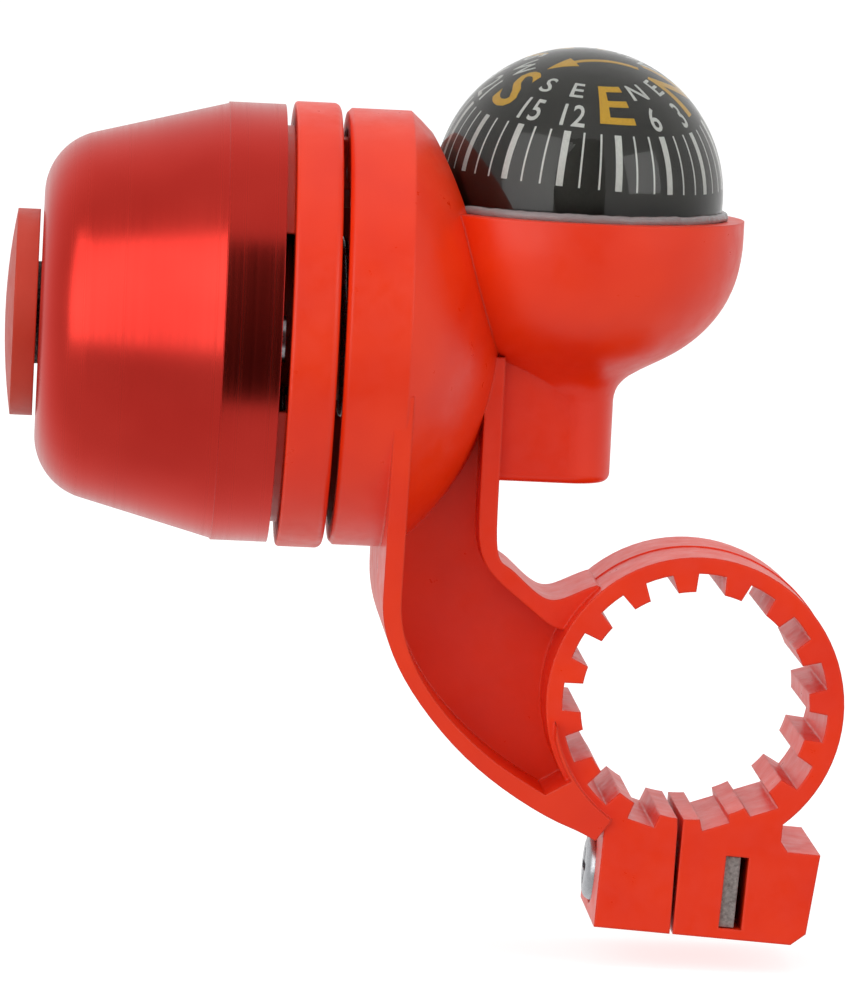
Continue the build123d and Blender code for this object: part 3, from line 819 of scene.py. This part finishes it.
# %% [markdown]
# ## Arrow, and the print as one piece
# A gold arrow lies over the top of the card, from north to south. It is cut from a flat
# outline and pressed onto the ball. Then everything printed is joined to one piece that
# turns with the card.

# %% Arrow over the top
ARROW_EDGE = 1.2                # longest edge, in millimetres


def arrow_mesh(half_length, head_length, head_half, shaft_half):
    """Flat arrow from north to south, over the card's pole."""
    corners = [
        (-half_length, 0),
        (-half_length + head_length, -head_half),
        (-half_length + head_length, -shaft_half),
        (half_length, -shaft_half),
        (half_length, shaft_half),
        (-half_length + head_length, shaft_half),
        (-half_length + head_length, head_half),
    ]
    work = bmesh.new()
    base = work.faces.new([work.verts.new((x, y, 0.0)) for x, y in corners])
    lifted = bmesh.ops.extrude_face_region(work, geom=[base])["geom"]
    for corner in lifted:
        if isinstance(corner, bmesh.types.BMVert):
            corner.co.z += 1.0
    bmesh.ops.triangulate(work, faces=work.faces[:])
    finer(work, ARROW_EDGE)
    south = bearing(180)
    along = Vector((math.sin(south), -math.cos(south), 0))
    across = Vector((-along.y, along.x, 0))
    for corner in work.verts:
        flat = (along * -corner.co.x + across * corner.co.y) * MM
        radius = CARD_R + INK * (corner.co.z + SUNK)
        up = math.sqrt(radius**2 - flat.length_squared)
        corner.co = COMPASS + LEAN @ (flat + Vector((0, 0, up)))
    bmesh.ops.recalc_face_normals(work, faces=work.faces[:])
    for face in work.faces:
        face.material_index = GOLD
    mesh = bpy.data.meshes.new("arrow")
    work.to_mesh(mesh)
    work.free()
    return mesh


arrow = arrow_mesh(half_length=3.7, head_length=2.3, head_half=0.95, shaft_half=0.24)
print("arrow faces:", len(arrow.polygons))


# %% All print as one piece
def joined(name, meshes):
    """Several meshes as one, keeping each face's finish."""
    work = bmesh.new()
    for mesh in meshes:
        work.from_mesh(mesh)
    result = bpy.data.meshes.new(name)
    work.to_mesh(result)
    work.free()
    return result


prints += [bold, fine, arrow]
card_print = add_piece("card_print", joined("card_print", prints), [white_ink, gold_ink], False)
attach(card_print, "card")
print("print faces:", len(card_print.data.polygons))

# %% [markdown]
# ## Floor and light
# The bell stands over a pale floor that runs far back, so that no edge shows. The light is
# that of a white tent: bright behind the bell, dimmer towards the front. A large soft box
# at the front left gives the dome its long highlight, a small one stands at the front
# right, and one hangs above. The tent's open side stands in front of the bell, where only
# reflections see it, and mirrors as a dark stripe in the dome's straight band. The floor
# throws no light back, so the undersides stay a deeper red.

# %% Floor
FLOOR_GAP = 3.0 * MM
FLOOR_REACH = 6.0


def rectangle(name, corners, material):
    """A flat stage piece with four corners."""
    mesh = bpy.data.meshes.new(name)
    mesh.from_pydata(corners, [], [(0, 1, 2, 3)])
    mesh.materials.append(material)
    piece = bpy.data.objects.new(name, mesh)
    bpy.context.scene.collection.objects.link(piece)
    piece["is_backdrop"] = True
    return piece


floor_z = cad_low.z - FLOOR_GAP
# matte paper that shines a little of its own, so the floor stays pale under the bell
paper, paper_tree, paper_surface, paper_place = new_material(
    "matte_paper", Roughness=0.9, Emission_Color=linear("#ffffff"), Emission_Strength=0.75
)
paper_surface.inputs["Specular IOR Level"].default_value = 0.1
fibre_noise = add_node(
    paper_tree, "ShaderNodeTexNoise", {"Vector": paper_place, "Scale": scale_for(40.0)}
)
paper_tone = add_node(
    paper_tree,
    "ShaderNodeMix",
    {"Factor": fibre_noise.outputs["Fac"], 6: linear("#b4b4b4"), 7: linear("#b0b0b0")},
    data_type="RGBA",
)
paper_tree.links.new(paper_tone.outputs[2], paper_surface.inputs["Base Color"])
ends = ((-1, -1), (1, -1), (1, 1), (-1, 1))
floor = rectangle(
    "floor", [(x * FLOOR_REACH, y * FLOOR_REACH, floor_z) for x, y in ends], paper
)
floor.visible_diffuse = False
floor.visible_glossy = False
print("floor at", round(floor_z / MM, 1), "mm")

# %% The tent's open side
# black cloth: swallows nearly all light
black_cloth = new_material("black_cloth", Base_Color=linear("#080808"), Roughness=1.0)[0]
OPENING_Y = -0.9
LEFT, RIGHT, BOTTOM, TOP = -0.4, 0.26, -0.66, 1.0
opening_corners = ((LEFT, BOTTOM), (RIGHT, BOTTOM), (RIGHT, TOP), (LEFT, TOP))
opening = rectangle(
    "tent_opening", [(x, OPENING_Y, z) for x, z in opening_corners], black_cloth
)
opening.visible_camera = False
opening.visible_diffuse = False
opening.visible_transmission = False
opening.visible_shadow = False
print("opening", RIGHT - LEFT, "m wide")


# %% Lights
def soft_box(name, place, size, brightness):
    """A square light that looks at the bell; its watts follow from how bright it looks."""
    data = bpy.data.lights.new(name, "AREA")
    data.shape = "SQUARE"
    data.size = size
    data.energy = brightness * math.pi * size**2
    light = bpy.data.objects.new(name, data)
    light.location = place
    light.rotation_euler = (AIM - Vector(place)).to_track_quat("-Z", "Y").to_euler()
    bpy.context.scene.collection.objects.link(light)
    light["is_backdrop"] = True
    return light


soft_box("front_left_box", (-0.62, -0.75, 0.33), size=1.1, brightness=1.35)
soft_box("front_right_box", (0.7, -0.6, 0.35), size=0.5, brightness=1.6)
top_box = soft_box("top_box", (0.0, -0.1, 0.9), size=0.6, brightness=1.3)
top_box.visible_glossy = False

# %% The white tent
FRONT_BRIGHT, BACK_BRIGHT = 0.64, 0.85
FADE_FROM, FADE_TO = -0.1, 0.6  # where the tent's walls turn from front to back, along Y
world = bpy.data.worlds.new("white_tent")
bpy.context.scene.world = world
world.use_nodes = True
tent = world.node_tree
tent.nodes.clear()
direction = add_node(tent, "ShaderNodeTexCoord").outputs["Generated"]
parts = add_node(tent, "ShaderNodeSeparateXYZ", {"Vector": direction})
fade = add_node(
    tent,
    "ShaderNodeMapRange",
    {
        "Value": parts.outputs["Y"],
        "From Min": FADE_FROM,
        "From Max": FADE_TO,
        "To Min": FRONT_BRIGHT,
        "To Max": BACK_BRIGHT,
    },
)
room = add_node(
    tent, "ShaderNodeBackground", {"Color": linear("#ffffff"), "Strength": fade.outputs[0]}
)
add_node(tent, "ShaderNodeOutputWorld", {"Surface": room.outputs[0]})
bpy.context.scene.view_settings.view_transform = "Standard"
print("lights: 3 soft boxes in a white tent")
